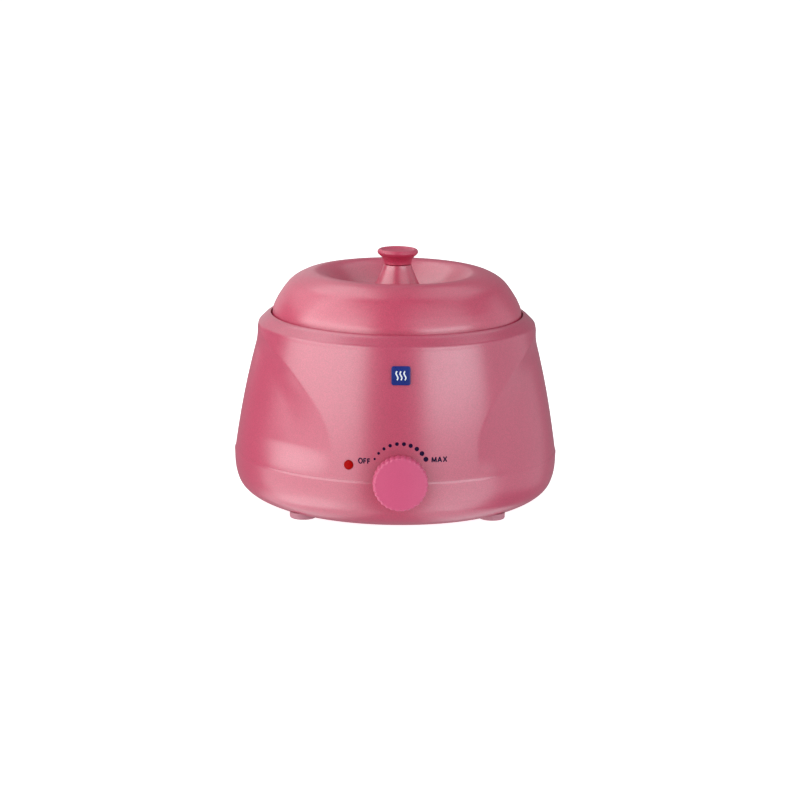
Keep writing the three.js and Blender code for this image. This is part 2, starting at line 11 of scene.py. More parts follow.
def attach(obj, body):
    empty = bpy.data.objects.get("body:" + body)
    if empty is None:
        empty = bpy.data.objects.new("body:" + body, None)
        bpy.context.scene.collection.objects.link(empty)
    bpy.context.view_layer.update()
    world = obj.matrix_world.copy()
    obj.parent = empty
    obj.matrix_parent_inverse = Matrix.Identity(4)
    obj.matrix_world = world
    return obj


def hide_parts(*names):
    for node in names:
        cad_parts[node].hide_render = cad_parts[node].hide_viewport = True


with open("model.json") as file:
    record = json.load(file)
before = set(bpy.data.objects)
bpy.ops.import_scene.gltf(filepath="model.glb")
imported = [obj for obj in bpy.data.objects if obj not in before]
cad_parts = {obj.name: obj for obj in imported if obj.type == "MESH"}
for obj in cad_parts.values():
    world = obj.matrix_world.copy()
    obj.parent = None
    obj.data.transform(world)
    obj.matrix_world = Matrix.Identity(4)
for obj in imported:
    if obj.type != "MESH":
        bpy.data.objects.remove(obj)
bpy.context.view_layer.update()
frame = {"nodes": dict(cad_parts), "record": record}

# ------------------------------------------------------------------ driving sizes, in millimetres
MM = 0.001
SHARP_ANGLE = math.radians(38)

# side wall, shoulder and rim of the housing, with the clear gap between parts
SEAM_Z = 31.4
SEAM_LIP = 0.26
SHOULDER_Z = 109
SEAM_R = 98.3
SHOULDER_R = 84.4
PANEL_CROWN = 1.0
PANEL_TOP_Z = 106.9
RIM_R = 76.9
RIM_Z = 115.2
WALL = 2.6
GAP = 0.3
SHEET = 1.2

# arched cheeks: the arch's half axes and turn, its fade over the seam, and the press's width and depth
CHEEK_DEPTH_AXIS = 87.1
CHEEK_HEIGHT = 74.7
CHEEK_POWER = 2.2
CHEEK_TURN = math.radians(1.8)
CHEEK_FADE = 17
CHEEK_BLEND = 0.75
CHEEK_WALL = 0.2
CHEEK_WALL_TOP = 0.13
CHEEK_PRESS = 3.0
CHEEK_PRESS_TOP = 1.3
CREASE_SOFT = 0.0015

# deck, well, pot and bail
DECK_Z = 109.5
DECK_UNDER_Z = 107
WELL_R = 54
WELL_FLOOR_Z = 43
POT_R = 51.5
POT_FLOOR_Z = 45
POT_RIM_Z = 112.5
BAIL_Z = 115.5
BAIL_R = 60.5
WIRE_R = 1.25
CLAMP_R = 67
CLAMP_SCREWS = 3
FLANGE_R = 71
POT_FLANGE_R = 58
EAR_ROOT_R = 52.9
RIVET_X = 54.8

# lid
LID_R = 76.1
LID_BOTTOM_Z = DECK_Z + GAP
COLUMN_TOP_Z = 144.8

# dial, its shaft and the printed scale over it
DIAL_Z = 32
DIAL_R = 16.2
DIAL_BACK = 98.9
DIAL_FACE = 107.6
DIAL_BORE_END = 104.1
DIAL_FLUTES = 30
FLUTE_DEPTH = 0.55
SHAFT_R = 3.3
SHAFT_HOLE_R = 5.5
SCALE_DOTS = 10
SCALE_REACH = math.radians(62.5)
SCALE_R = 16.9
SCALE_Z = 37.2
INK_THICKNESS = 0.05
LETTER_HEIGHT = 3.0
LETTER_SPACE = 0.42
STROKE_HALF = 0.36

# lamp, badge, gland, base and feet; SIDE_CUT is how far from the axis a hole's cutter runs
LAMP_ANGLE = math.radians(-18.1)
LAMP_Z = 40.7
LAMP_R = 2.75
LAMP_HOLE_R = 2.9
BADGE_Z = 93.3
BADGE_SIZE = 11.2
BADGE_FACE = 0.62
GLAND_Z = 18
GLAND_END = 107.6
GLAND_BORE_R = 4.2
GLAND_HOLE_R = 6.2
SIDE_CUT = (85, 105)
BASE_Z = 1
TONGUE_R = 94.2
TONGUE_WALL = 1.4
VENTS = 8
FOOT_SEAT_Z = 4.3
FOOT_R = 8
FOOT_OFFSET = 56.6

CORNERS = {"front_left": (-1, -1), "front_right": (1, -1), "rear_left": (-1, 1), "rear_right": (1, 1)}


# ------------------------------------------------------------------ outlines
def rounded(points, closed=False, steps=5):
    """An outline of (r, z) points. A third value rounds that corner to that radius."""
    count = len(points)
    out = []
    for i, point in enumerate(points):
        here = Vector(point[:2])
        if len(point) < 3 or (not closed and i in (0, count - 1)):
            out.append(here)
            continue
        back = (Vector(points[i - 1][:2]) - here).normalized()
        ahead = (Vector(points[(i + 1) % count][:2]) - here).normalized()
        half = back.angle(ahead) / 2
        start = here + back * (point[2] / math.tan(half))
        centre = here + (back + ahead).normalized() * (point[2] / math.sin(half))
        spoke = start - centre
        sweep = spoke.angle_signed(here + ahead * (point[2] / math.tan(half)) - centre)
        out += [centre + Matrix.Rotation(-sweep * k / steps, 2) @ spoke for k in range(steps + 1)]
    return out


def flowing(points, steps=6):
    """A smooth outline through (r, z) points."""
    pts = [Vector(p) for p in points]
    pts = [2 * pts[0] - pts[1], *pts, 2 * pts[-1] - pts[-2]]
    out = [pts[1]]
    for p0, p1, p2, p3 in zip(pts, pts[1:], pts[2:], pts[3:]):
        slope = p2 - p0
        square = 2 * p0 - 5 * p1 + 4 * p2 - p3
        cube = 3 * p1 - p0 - 3 * p2 + p3
        for k in range(1, steps + 1):
            t = k / steps
            out.append(p1 + (slope * t + square * t * t + cube * t ** 3) / 2)
    return out


def line(a, b, steps):
    """Points from a to b, so that a long straight run has rows to bend."""
    return [Vector(a).lerp(Vector(b), k / steps) for k in range(steps + 1)]


def heights(start, end, steps):
    """Evenly spaced heights from start to end."""
    return [start + (end - start) * k / steps for k in range(steps + 1)]


# ------------------------------------------------------------------ meshes
def turn(outline, turns=192, closed=False):
    """Vertices and faces of an outline turned about Z. An open outline starts and ends on the axis."""
    verts, rows = [], []
    for r, z in outline:
        if r < 1e-6:
            rows.append([len(verts)])
            verts.append((0, 0, z))
            continue
        rows.append(list(range(len(verts), len(verts) + turns)))
        verts += [(r * math.sin(2 * math.pi * k / turns), -r * math.cos(2 * math.pi * k / turns), z)
                  for k in range(turns)]
    pairs = list(zip(rows, rows[1:]))
    if closed:
        pairs.append((rows[-1], rows[0]))
    faces = []
    for low, high in pairs:
        for k in range(turns):
            n = (k + 1) % turns
            quad = [low[k % len(low)], low[n % len(low)], high[n % len(high)], high[k % len(high)]]
            faces.append(list(dict.fromkeys(quad)))
    return verts, faces


def along(path, section):
    """Vertices and faces of a round or shaped section swept along a level or upright path."""
    verts, faces = [], []
    sides = len(section)
    count = len(path)
    for i, p in enumerate(path):
        ahead = (path[min(i + 1, count - 1)] - path[max(i - 1, 0)]).normalized()
        up = Vector((0, 0, 1)) if abs(ahead.z) < 0.9 else Vector((0, 1, 0))
        side = ahead.cross(up).normalized()
        up = side.cross(ahead)
        verts += [p + side * u + up * v for u, v in section]
    for i in range(count - 1):
        for k in range(sides):
            n = (k + 1) % sides
            faces.append([i * sides + k, i * sides + n, (i + 1) * sides + n, (i + 1) * sides + k])
    faces.append(list(range(sides)))
    faces.append([(count - 1) * sides + k for k in range(sides)])
    return verts, faces


def prism(bottom, top):
    """Vertices and faces of a solid between two outlines with the same number of points."""
    n = len(bottom)
    faces = [list(range(n)), list(range(n, 2 * n))]
    faces += [[k, (k + 1) % n, (k + 1) % n + n, k + n] for k in range(n)]
    return [*bottom, *top], faces


def together(solids):
    """The vertices and faces of several solids as one."""
    verts, faces = [], []
    for solid_verts, solid_faces in solids:
        faces += [[len(verts) + i for i in face] for face in solid_faces]
        verts += solid_verts
    return verts, faces


def disc(radius, sides):
    """A round section."""
    return [(radius * math.cos(2 * math.pi * k / sides), radius * math.sin(2 * math.pi * k / sides))
            for k in range(sides)]


def tidy(mesh):
    """Faces outwards, smooth shading, and a crisp line wherever two faces meet at a sharp angle."""
    bm = bmesh.new()
    bm.from_mesh(mesh)
    bmesh.ops.remove_doubles(bm, verts=bm.verts, dist=1e-7)
    bmesh.ops.recalc_face_normals(bm, faces=bm.faces)
    for face in bm.faces:
        face.smooth = True
    for edge in bm.edges:
        edge.smooth = edge.calc_face_angle(0) < SHARP_ANGLE
    bm.to_mesh(mesh)
    bm.free()


def thing(name, verts, faces, place=None):
    """A mesh object from vertices in millimetres."""
    mesh = bpy.data.meshes.new(name)
    if place is not None:
        verts = [place @ Vector(v) for v in verts]
    mesh.from_pydata([Vector(v) * MM for v in verts], [], faces)
    mesh.update()
    tidy(mesh)
    obj = bpy.data.objects.new(name, mesh)
    bpy.context.scene.collection.objects.link(obj)
    return obj


def changed(obj, *modifiers):
    """Applies modifiers, given as (type, settings), to an object's mesh."""
    for kind, settings in modifiers:
        mod = obj.modifiers.new(kind.lower(), kind)
        for key, value in settings.items():
            setattr(mod, key, value)
    bpy.context.view_layer.update()
    mesh = bpy.data.meshes.new_from_object(obj.evaluated_get(bpy.context.evaluated_depsgraph_get()))
    obj.modifiers.clear()
    obj.data = mesh
    tidy(mesh)
    return obj


def cut(obj, *cutters):
    """Cuts objects out of another and removes them."""
    for cutter in cutters:
        changed(obj, ("BOOLEAN", {"operation": "DIFFERENCE", "solver": "EXACT", "object": cutter}))
        bpy.data.objects.remove(cutter)
    return obj


def piece(obj, body, slot, look, *replaced):
    """Puts an object on its body, with its finish and the CAD nodes that it stands for."""
    obj.data.materials.clear()
    obj.data.materials.append(look)
    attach(obj, body)
    if replaced:
        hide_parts(*replaced)
    return obj


def rod(radius, low, high, place):
    """A plain round cutter."""
    return thing("cutter", *turn([(0, low), (radius, low), (radius, high), (0, high)], turns=48), place)


def outward(z, about_z=0.0):
    """Lays a piece made about Z along the line to the front, at a height, turned about the body's axis."""
    return (Matrix.Rotation(about_z, 4, "Z") @ Matrix.Translation((0, 0, z))
            @ Matrix.Rotation(math.pi / 2, 4, "X"))


# ------------------------------------------------------------------ node helpers
class Look:
    """A material being made: its shader, and short calls for the nodes that feed it."""

    def __init__(self, name, **constants):
        self.material = bpy.data.materials.new(name)
        self.material.use_nodes = True
        self.tree = self.material.node_tree
        self.shader = self.tree.nodes["Principled BSDF"]
        self.place = self.node("ShaderNodeTexCoord").outputs["Object"]
        self.set(**constants)

    def set(self, **constants):
        """Constants on the shader's own sockets; an underscore stands for a space."""
        for key, value in constants.items():
            self.shader.inputs[key.replace("_", " ")].default_value = value

    def node(self, kind, **settings):
        """A new node with its settings."""
        made = self.tree.nodes.new(kind)
        for key, value in settings.items():
            setattr(made, key, value)
        return made

    def link(self, out, into):
        self.tree.links.new(out, into)

    def noise(self, scale, detail=2.0, stretch=(1, 1, 1), distortion=0.0):
        """Noise of so many features a metre."""
        spread = self.node("ShaderNodeMapping")
        spread.inputs["Scale"].default_value = stretch
        self.link(self.place, spread.inputs["Vector"])
        made = self.node("ShaderNodeTexNoise")
        made.inputs["Scale"].default_value = scale
        made.inputs["Detail"].default_value = detail
        made.inputs["Distortion"].default_value = distortion
        self.link(spread.outputs["Vector"], made.inputs["Vector"])
        return made.outputs["Fac"]

    def cells(self, scale, output="Color"):
        """Random cells, so many a metre."""
        made = self.node("ShaderNodeTexVoronoi")
        made.inputs["Scale"].default_value = scale
        self.link(self.place, made.inputs["Vector"])
        return made.outputs[output]

    def ramp(self, fac, *stops):
        """Colours or greys along a factor, as (position, colour) stops."""
        made = self.node("ShaderNodeValToRGB")
        elements = made.color_ramp.elements
        while len(elements) < len(stops):
            elements.new(0.5)
        for element, (position, colour) in zip(elements, stops):
            element.position = position
            element.color = (*colour, 1) if isinstance(colour, tuple) else (colour, colour, colour, 1)
        self.link(fac, made.inputs["Fac"])
        return made.outputs["Color"]

    def spread(self, fac, low, high, start=0.3, end=0.7):
        """A factor spread over a range of values."""
        made = self.node("ShaderNodeMapRange")
        for key, value in (("From Min", start), ("From Max", end), ("To Min", low), ("To Max", high)):
            made.inputs[key].default_value = value
        self.link(fac, made.inputs["Value"])
        return made.outputs["Result"]

    def mix(self, fac, a, b, blend="MIX"):
        """Two colours mixed; each is a socket or a colour."""
        made = self.node("ShaderNodeMix", data_type="RGBA", blend_type=blend)
        for value, key in ((fac, 0), (a, 6), (b, 7)):
            if hasattr(value, "links"):
                self.link(value, made.inputs[key])
            elif isinstance(value, tuple):
                made.inputs[key].default_value = (*value, 1)
            else:
                made.inputs[key].default_value = value
        return made.outputs[2]

    def math(self, operation, a, b=0.0):
        """Arithmetic on sockets or numbers."""
        made = self.node("ShaderNodeMath", operation=operation)
        for value, key in ((a, 0), (b, 1)):
            if hasattr(value, "links"):
                self.link(value, made.inputs[key])
            else:
                made.inputs[key].default_value = value
        return made.outputs["Value"]

    def colour(self, out):
        self.link(out, self.shader.inputs["Base Color"])

    def rough(self, out):
        self.link(out, self.shader.inputs["Roughness"])

    def bump(self, height, strength, depth_mm=0.1, under=None):
        """Relief on the surface; under is another relief that it adds to."""
        made = self.node("ShaderNodeBump")
        made.inputs["Strength"].default_value = strength
        made.inputs["Distance"].default_value = depth_mm * MM
        self.link(height, made.inputs["Height"])
        if under is not None:
            self.link(under, made.inputs["Normal"])
        self.link(made.outputs["Normal"], self.shader.inputs["Normal"])
        return made.outputs["Normal"]

    def radius(self):
        """Distance from the body's upright axis, and height."""
        split = self.node("ShaderNodeSeparateXYZ")
        self.link(self.place, split.inputs["Vector"])
        square = self.math("ADD", self.math("MULTIPLY", split.outputs["X"], split.outputs["X"]),
                           self.math("MULTIPLY", split.outputs["Y"], split.outputs["Y"]))
        return self.math("SQRT", square), split.outputs["Z"]


# ------------------------------------------------------------------ materials
def pearl_plastic(name, deep, pale, roughness, flake=0.16, coat=0.25, ior=2.1):
    """Moulded plastic with a fine pearl flake under a satin surface."""
    look = Look(name, IOR=ior, Coat_Weight=coat, Coat_Roughness=0.22)
    drift = look.noise(14, 3)
    base = look.ramp(drift, (0.3, deep), (0.7, pale))
    grain = look.spread(look.cells(2600), 1 - flake, 1 + flake, 0.1, 0.9)
    grey = look.node("ShaderNodeCombineColor")
    for channel in ("Red", "Green", "Blue"):
        look.link(grain, grey.inputs[channel])
    look.colour(look.mix(1.0, base, grey.outputs["Color"], "MULTIPLY"))
    look.rough(look.spread(look.noise(420, 3), roughness - 0.03, roughness + 0.04))
    sand = look.bump(look.noise(1500, 2), 0.10, 0.05)
    look.bump(look.cells(2600, "Distance"), 0.06, 0.05, sand)
    return look.material


def soft_plastic(name, deep, pale, roughness, grain=1800):
    """Plain moulded plastic or rubber with a fine spark-eroded texture."""
    look = Look(name, IOR=1.48)
    look.colour(look.ramp(look.noise(30, 4), (0.3, deep), (0.7, pale)))
    look.rough(look.spread(look.noise(600, 3), roughness - 0.05, roughness + 0.06))
    look.bump(look.noise(grain, 3), 0.18, 0.05)
    return look.material


def ink(name, colour):
    """Pad-printed ink: nearly flat, with a slightly uneven film."""
    look = Look(name, IOR=1.2)
    darker = tuple(c * 0.75 for c in colour)
    look.colour(look.ramp(look.noise(900, 3), (0.35, darker), (0.65, colour)))
    look.rough(look.spread(look.noise(2500, 2), 0.35, 0.5))
    look.bump(look.noise(3000, 2), 0.1, 0.02)
    return look.material


def spun_metal(name, dark, bright, roughness):
    """Aluminium or steel turned on a lathe: fine rings round the upright axis, and faint stains."""
    look = Look(name, Metallic=1.0)
    radius, height = look.radius()
    joined = look.node("ShaderNodeCombineXYZ")
    look.link(radius, joined.inputs["X"])
    look.link(height, joined.inputs["Y"])
    rings = look.node("ShaderNodeTexNoise")
    rings.inputs["Scale"].default_value = 2200
    rings.inputs["Detail"].default_value = 3
    look.link(joined.outputs["Vector"], rings.inputs["Vector"])
    stain = look.noise(28, 5, distortion=0.6)
    look.colour(look.mix(0.35, look.ramp(stain, (0.3, dark), (0.7, bright)),
                         look.ramp(rings.outputs["Fac"], (0.3, dark), (0.7, bright))))
    look.rough(look.spread(rings.outputs["Fac"], roughness - 0.08, roughness + 0.1))
    look.bump(rings.outputs["Fac"], 0.25, 0.02)
    return look.material


def plated_steel(name, dark, bright, roughness):
    """Zinc-plated steel with its faint crystals and handling marks."""
    look = Look(name, Metallic=1.0)
    look.colour(look.mix(0.4, look.ramp(look.noise(60, 5), (0.3, dark), (0.7, bright)),
                         look.ramp(look.cells(500), (0.2, dark), (0.8, bright))))
    look.rough(look.spread(look.noise(300, 4), roughness - 0.08, roughness + 0.12))
    look.bump(look.noise(1400, 3, (1, 1, 0.15)), 0.12, 0.03)
    return look.material


def fired_ceramic(name, dark, pale):
    """Steatite or stoneware insulator."""
    look = Look(name, IOR=1.55)
    look.colour(look.ramp(look.noise(120, 5), (0.3, dark), (0.7, pale)))
    look.rough(look.spread(look.noise(500, 4), 0.4, 0.6))
    look.bump(look.noise(900, 4), 0.25, 0.06)
    return look.material


def mica_sheet(name):
    """Pressed mica: layered flakes with a soft glint."""
    look = Look(name, IOR=1.58, Coat_Weight=0.2, Coat_Roughness=0.3)
    flakes = look.cells(260)
    look.colour(look.mix(0.5, look.ramp(look.noise(70, 5, (1, 1, 3)), (0.3, (0.24, 0.18, 0.10)),
                                        (0.7, (0.52, 0.44, 0.30))),
                         look.ramp(flakes, (0.2, (0.28, 0.22, 0.13)), (0.8, (0.50, 0.42, 0.28)))))
    look.rough(look.spread(flakes, 0.35, 0.65, 0.1, 0.9))
    look.bump(look.cells(260, "Distance"), 0.2, 0.1)
    return look.material


def clear_lens(name):
    """Red moulded lens, lit from inside."""
    look = Look(name, IOR=1.15, Emission_Strength=0.06, Emission_Color=(0.8, 0.0, 0.0, 1))
    radius, _ = look.radius()
    # The colour runs from dark deep in the wall's hole to brighter at the dome's crown: painted shade in the
    # hole and a painted glow at the crown.
    look.colour(look.mix(look.spread(radius, 0, 1, 0.0955, 0.0982), (0.13, 0.0, 0.0), (0.36, 0.001, 0.001)))
    look.rough(look.spread(look.noise(700, 3), 0.25, 0.35))
    look.bump(look.noise(900, 2), 0.05, 0.03)
    return look.material


def lamp_glass(name):
    """Neon lamp's glass."""
    look = Look(name, IOR=1.5, Transmission_Weight=0.85)
    look.colour(look.ramp(look.noise(200, 3), (0.3, (0.95, 0.62, 0.42)), (0.7, (0.98, 0.78, 0.62))))
    look.rough(look.spread(look.noise(400, 2), 0.03, 0.1))
    look.bump(look.noise(500, 2), 0.05, 0.05)
    return look.material


def enamel(name, deep, pale):
    """Gloss enamel under clear resin."""
    look = Look(name, IOR=1.42)
    look.colour(look.ramp(look.noise(160, 4), (0.3, deep), (0.7, pale)))
    look.rough(look.spread(look.noise(500, 3), 0.25, 0.38))
    look.bump(look.noise(700, 2), 0.05, 0.03)
    return look.material


def backdrop_paper(name):
    """Plain pale studio floor."""
    look = Look(name, IOR=1.3, Emission_Color=(1, 1, 1, 1), Emission_Strength=0.85)
    look.colour(look.ramp(look.noise(3, 3), (0.3, (0.68, 0.68, 0.68)), (0.7, (0.7, 0.7, 0.7))))
    look.rough(look.spread(look.noise(200, 2), 0.85, 0.95))
    return look.material


PINK = pearl_plastic("pearl_pink", (0.48, 0.034, 0.094), (0.525, 0.041, 0.107), 0.31, ior=2.05)
# A lighter copy of the housing's pink for the lid: painted light, standing in for the brighter light that
# falls on the lid.
LIT_LID_PINK = pearl_plastic("lid_pink_painted_light", (0.54, 0.035, 0.097), (0.59, 0.042, 0.111), 0.32, ior=2.05)
# A lighter, redder copy of the housing's pink for the lid's knob: painted light reflected onto it from the
# lid; its rougher, less coated surface is its own.
LIT_KNOB_PINK = pearl_plastic("knob_pink_painted_light", (0.52, 0.034, 0.092), (0.56, 0.040, 0.104), 0.4, coat=0.1, ior=1.7)
DIAL_PINK = pearl_plastic("dial_pink", (0.60, 0.072, 0.175), (0.64, 0.080, 0.19), 0.42, flake=0.04,
                          coat=0.0, ior=1.6)
FOOT_PINK = soft_plastic("foot_pink", (0.45, 0.17, 0.22), (0.52, 0.21, 0.26), 0.6)
LENS_RED = clear_lens("lens_red")
BADGE_BLUE = enamel("badge_blue", (0.006, 0.018, 0.16), (0.010, 0.028, 0.21))
BADGE_WHITE = enamel("badge_white", (0.80, 0.81, 0.83), (0.88, 0.88, 0.90))
NAVY_INK = ink("navy_ink", (0.010, 0.001, 0.030))
POT_METAL = spun_metal("pot_aluminium", (0.62, 0.63, 0.65), (0.80, 0.81, 0.82), 0.3)
WELL_METAL = spun_metal("well_aluminium", (0.50, 0.51, 0.53), (0.68, 0.69, 0.71), 0.38)
STEEL = plated_steel("plated_steel", (0.42, 0.43, 0.46), (0.66, 0.67, 0.69), 0.34)
BRIGHT_STEEL = plated_steel("bright_steel", (0.60, 0.61, 0.63), (0.78, 0.79, 0.80), 0.2)
MICA = mica_sheet("mica")
CERAMIC = fired_ceramic("white_ceramic", (0.66, 0.64, 0.58), (0.82, 0.80, 0.75))
NYLON = soft_plastic("nylon_black", (0.012, 0.012, 0.014), (0.03, 0.03, 0.033), 0.45, 1200)
LEAD_BLACK = soft_plastic("lead_black", (0.010, 0.010, 0.011), (0.028, 0.027, 0.027), 0.4)
LEAD_WHITE = soft_plastic("lead_white", (0.62, 0.60, 0.55), (0.78, 0.77, 0.73), 0.5)
LAMP_GLASS = lamp_glass("lamp_glass")


# ------------------------------------------------------------------ housing surface
def smoothstep(value, low, high):
    """A soft step from 0 at low to 1 at high."""
    t = min(max((value - low) / (high - low), 0), 1)
    return t * t * (3 - 2 * t)


def panel_radius(z):
    """Radius of the side panel at a height, before the cheeks are pressed in."""
    t = (z - SEAM_Z) / (SHOULDER_Z - SEAM_Z)
    return SEAM_R + (SHOULDER_R - SEAM_R) * t + PANEL_CROWN * math.sin(math.pi * min(max(t, 0), 1))


def cheek_press(x, y, z):
    """How far the cheek's arch is pressed in at a point of the side wall."""
    forth = abs(y * math.cos(CHEEK_TURN) - x * math.sin(CHEEK_TURN)) / CHEEK_DEPTH_AXIS
    up = max(z - SEAM_Z, 0) / CHEEK_HEIGHT
    inside = 1 - (forth ** CHEEK_POWER + up ** CHEEK_POWER) ** (1 / CHEEK_POWER)
    inside = (inside + math.hypot(inside, CREASE_SOFT)) / 2
    if inside < 1e-4:
        return 0
    crown = 1 - smoothstep(forth, 0, CHEEK_BLEND)
    fade = smoothstep(z, SEAM_Z, SEAM_Z + CHEEK_FADE)
    reach = CHEEK_WALL + (CHEEK_WALL_TOP - CHEEK_WALL) * crown
    wall = 1 - (1 - min(inside / reach, 1)) ** 2
    t = max(inside - reach, 0) / (1 - reach)
    relax = (1 - crown) * (1 - smoothstep(t, 0, 1)) + crown * (1 - t) ** 2
    depth = CHEEK_PRESS + (CHEEK_PRESS_TOP - CHEEK_PRESS) * crown
    return depth * wall * relax * fade


def pressed(vert):
    """A vertex of the housing's side wall, moved in where a cheek is."""
    x, y, z = vert
    r = math.hypot(x, y)
    if r < RIM_R or z > DECK_UNDER_Z - 0.5:
        return vert
    k = 1 - cheek_press(x, y, z) / r
    return x * k, y * k, z


def on_panel(x, z, out):
    """The point of the front panel at a place seen from the front, raised by out."""
    r = panel_radius(z) + out
    return Vector((x, -math.sqrt(r * r - x * x), z))


# ------------------------------------------------------------------ housing and base
def build_housing():
    """The upper shell: side wall with its cheeks, shoulder, rim, deck and inner wall."""
    bottom = SEAM_Z + SEAM_LIP
    side = [(panel_radius(z), z) for z in heights(bottom + 0.5, PANEL_TOP_Z, 120)]
    outer = [(panel_radius(bottom), bottom), (panel_radius(bottom), bottom + 0.2), *side]
    shoulder = flowing([side[-1], (84.64, 108.2), (84.4, 109.1), (83.8, 109.95), (82.75, 110.95),
                        (80.5, 113.15), (79.4, 114.1), (78.2, 114.8), (77.5, 115.08)], 5)[1:]
    lip = rounded([(77.6, 115.05), (RIM_R, RIM_Z, 0.3), (RIM_R, DECK_Z, 0.4), (WELL_R + 2, DECK_Z, 0.4),
                   (WELL_R + 2, DECK_UNDER_Z, 0.3), (81.2, DECK_UNDER_Z)])[1:]
    inner = [(panel_radius(z) - WALL, z) for z in heights(104, bottom, 60)]
    verts, faces = turn([Vector(p) for p in (*outer, *shoulder, *lip, *inner)], turns=420, closed=True)
    shell = thing("housing_shell", [pressed(v) for v in verts], faces)
    cut(shell, rod(SHAFT_HOLE_R, *SIDE_CUT, outward(DIAL_Z)),
        rod(LAMP_HOLE_R, *SIDE_CUT, outward(LAMP_Z, LAMP_ANGLE)))
    piece(shell, "housing", "housing_pink", PINK, "upper_housing")


def vent_cutter(turned):
    """A cutter for one slot with round ends, in the underside."""
    half_width, half_length, reach, depth = 1.5, 6.5, 36, 9
    steps = 24
    section = []
    for i in range(steps):
        a = 2 * math.pi * (i + 0.5) / steps
        end = math.copysign(half_length, math.sin(a))
        section.append((half_width * math.cos(a), reach + end + half_width * math.sin(a)))
    verts, faces = prism([(x, y, 0) for x, y in section], [(x, y, depth) for x, y in section])
    return thing("cutter", verts, faces, Matrix.Rotation(turned, 4, "Z"))


def build_base():
    """The lower shell: underside with vents, rounded side, and the tongue that locates the housing."""
    top = SEAM_Z
    tongue_top = top + 2.4
    tongue_in = TONGUE_R - TONGUE_WALL
    floor = BASE_Z + WALL
    outer = flowing([(77.5, BASE_Z), (80.5, 1.4), (84.4, 2.8), (89.2, 5.3), (93.2, 8.5), (95.7, 12.0),
                     (97.2, 16.0), (98.1, 20.0), (98.5, 24.0), (98.66, 28.0)])
    outline = [(0, BASE_Z), *line((20, BASE_Z), (72, BASE_Z), 4), *outer,
               *rounded([(98.66, 28.0), (98.79, 30.25, 0.8), (98.31, top + 0.25), (97.8, top + 0.1),
                         (TONGUE_R, top, 0.2), (TONGUE_R, tongue_top, 0.3), (tongue_in, tongue_top, 0.3),
                         (tongue_in, 28), (95, 25.5, 1.5), (94.4, 18, 4), (92.4, 13, 5), (86.8, 7.3, 5),
                         (80, floor, 3), (40, floor)])[1:], (0, floor)]
    shell = thing("base_shell", *turn([Vector(p) for p in outline], turns=256))
    cutters = [rod(SHAFT_HOLE_R, *SIDE_CUT, outward(DIAL_Z)),
               rod(GLAND_HOLE_R, *SIDE_CUT, outward(GLAND_Z, math.pi))]
    for sx, sy in CORNERS.values():
        at = Matrix.Translation((sx * FOOT_OFFSET, sy * FOOT_OFFSET, 0))
        cutters.append(rod(FOOT_R + GAP, 0, FOOT_SEAT_Z, at))
    cutters += [vent_cutter((k + 0.5) * 2 * math.pi / VENTS) for k in range(VENTS)]
    cut(shell, *cutters)
    piece(shell, "housing", "housing_pink", PINK, "lower_base")


def build_feet():
    """Four round feet, hollow in the middle for their screws."""
    seat = FOOT_SEAT_Z - GAP
    for corner, (sx, sy) in CORNERS.items():
        outline = rounded([(0, 0), (3, 0), (FOOT_R - 0.1, 0, 0.9), (FOOT_R, seat, 0.4), (4.4, seat, 0.2),
                           (4.4, 0.8), (0, 0.8)])
        foot = thing(f"foot_pad_{corner}", *turn(outline, turns=64),
                     Matrix.Translation((sx * FOOT_OFFSET, sy * FOOT_OFFSET, 0)))
        piece(foot, "housing", "foot_pink", FOOT_PINK, f"foot_{corner}")


# ------------------------------------------------------------------ lid and knob
def build_lid():
    """The hollow dome, its central crater and the column that carries the knob."""
    dome = flowing([(LID_R, 113.6), (75.5, 118.2), (73.4, 123.0), (71.2, 126.7), (68.8, 130.2), (66.3, 133.3),
                    (63.2, 136.0), (59.0, 138.4), (55.0, 139.9), (50.5, 140.55), (46.4, 140.1), (42.4, 138.2),
                    (37.6, 134.2), (32.4, 130.0), (27.4, 127.7), (22.4, 127.0), (17.8, 127.8), (14.6, 130.6),
                    (12.6, 134.2), (10.9, 138.0), (9.4, 141.4), (8.7, 143.4)])
    rim = line((LID_R, 111), (LID_R, 112.6), 2)
    column = rounded([(8.7, 143.4), (8.45, COLUMN_TOP_Z, 0.35), (2.2, COLUMN_TOP_Z, 0.2), (2.2, 141.2, 0.2),
                      (6, 141.2, 0.8), (7.4, 136.4)])[1:]
    under = flowing([(7.4, 136.4), (9.6, 130.6), (13.4, 126.3), (21.8, 124.4), (31.6, 126.6), (37.8, 131.0),
                     (43.8, 135.7), (50.2, 138.0), (56.4, 136.8), (62.0, 133.6), (66.6, 129.0), (70.6, 122.8),
                     (73.0, 116.6), (73.6, 113.2)], 5)[1:]
    foot = rounded([(73.6, 113.2), (73.6, LID_BOTTOM_Z, 0.5), (LID_R, LID_BOTTOM_Z, 0.5),
                    (LID_R, 110.8)])[1:-1]
    outline = [Vector(p) for p in (*rim, *dome, *column, *under, *foot)]
    lid = thing("lid_shell", *turn(outline, turns=288, closed=True))
    piece(lid, "lid", "housing_pink", LIT_LID_PINK, "lid")


def build_lid_knob():
    """The dished mushroom knob, with a bore for its screw."""
    low = COLUMN_TOP_Z + GAP
    side = flowing([(8.45, 145.5), (8.5, 146.6), (8.9, 147.9), (9.9, 149.3), (11.2, 150.5), (12.1, 151.4),
                    (12.42, 152.4), (12.1, 153.4), (11.3, 154.0), (10.6, 154.15), (9.9, 153.95), (8.6, 153.4),
                    (6.0, 153.0), (3.0, 152.85)], 5)
    foot = rounded([(1.8, 150.4), (1.8, low, 0.2), (8.45, low, 0.35), (8.45, 145.6)])[1:-1]
    outline = [Vector(p) for p in ((0, 150.5), (1.8, 150.5), *foot, *side, (0, 152.8))]
    knob = thing("lid_knob_cap", *turn(outline, turns=128))
    piece(knob, "lid", "housing_pink", LIT_KNOB_PINK, "lid_knob")


